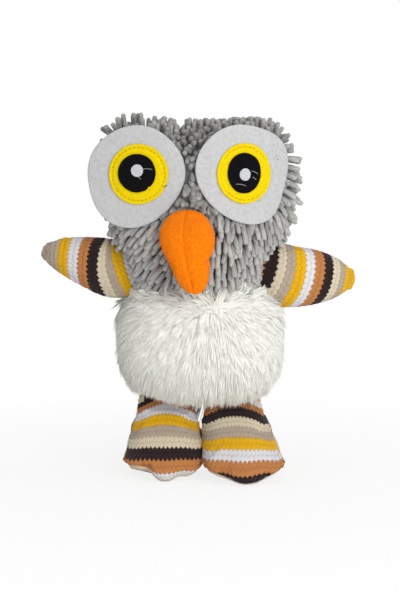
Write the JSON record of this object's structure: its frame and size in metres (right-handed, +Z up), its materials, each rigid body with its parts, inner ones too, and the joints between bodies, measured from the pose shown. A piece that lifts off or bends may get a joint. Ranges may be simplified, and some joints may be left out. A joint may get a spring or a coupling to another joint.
{
  "type": "plush owl",
  "caption": "Stuffed owl with a chenille head and chest, a fur belly, striped knitted wings and feet, large felt disc eyes and a plush beak.",
  "frame": {"origin": "middle of the outline's footprint, on the surface that the soles stand on", "axes": "+Z up to the crown, -Y out of the face, +X to the viewer's right"},
  "size_m": [0.2838, 0.148, 0.3131],
  "materials": {
    "grey_chenille": "finger-like chenille pile",
    "white_fur": "long straight pile",
    "striped_knit": "rib-crocheted stripes",
    "orange_plush": "short dense pile",
    "pale_felt": "pressed felt",
    "yellow_felt": "pressed felt",
    "black_felt": "pressed felt",
    "grey_felt": "pressed felt",
    "polyester_filling": "loose fibre filling"
  },
  "bodies": {
    "torso": {"head_and_chest_skin": "grey_chenille", "belly_fur_skin": "white_fur", "body_filling": "polyester_filling", "left_eye_felt_disc": "pale_felt", "left_eye_yellow_disc": "yellow_felt", "left_eye_black_pupil": "black_felt", "left_eye_pale_dot": "grey_felt", "right_eye_felt_disc": "pale_felt", "right_eye_yellow_disc": "yellow_felt", "right_eye_black_pupil": "black_felt", "right_eye_pale_dot": "grey_felt"},
    "left_wing": {"left_wing_skin": "striped_knit", "left_wing_filling": "polyester_filling"},
    "right_wing": {"right_wing_skin": "striped_knit", "right_wing_filling": "polyester_filling"},
    "left_leg": {"left_leg_front_panel": "striped_knit", "left_leg_back_panel": "striped_knit", "left_leg_filling": "polyester_filling"},
    "right_leg": {"right_leg_front_panel": "striped_knit", "right_leg_back_panel": "striped_knit", "right_leg_filling": "polyester_filling"},
    "beak": {"beak_left_panel": "orange_plush", "beak_right_panel": "orange_plush", "beak_filling": "polyester_filling"}
  },
  "joints": [
    {"name": "left_wing_swing", "type": "hinge", "parent": "torso", "child": "left_wing", "pos_m": [-0.06816, 0.01413, 0.18008], "axis": [-0.1736, 0, 0.9848], "range_deg": [-15, 35], "stiffness_Nm_per_rad": 0.05},
    {"name": "right_wing_swing", "type": "hinge", "parent": "torso", "child": "right_wing", "pos_m": [0.0662, 0.01413, 0.17708], "axis": [-0.1736, 0, -0.9848], "range_deg": [-15, 35], "stiffness_Nm_per_rad": 0.05},
    {"name": "left_leg_swing", "type": "hinge", "parent": "torso", "child": "left_leg", "pos_m": [-0.02905, 0.01413, 0.064], "axis": [-1, 0, 0], "range_deg": [-35, 40], "stiffness_Nm_per_rad": 0.5},
    {"name": "right_leg_swing", "type": "hinge", "parent": "torso", "child": "right_leg", "pos_m": [0.03005, 0.01413, 0.064], "axis": [-1, 0, 0], "range_deg": [-35, 40], "stiffness_Nm_per_rad": 0.5},
    {"name": "beak_lift", "type": "hinge", "parent": "torso", "child": "beak", "pos_m": [-0.00965, -0.04658, 0.23101], "axis": [-1, 0, 0], "range_deg": [0, 30]}
  ]
}
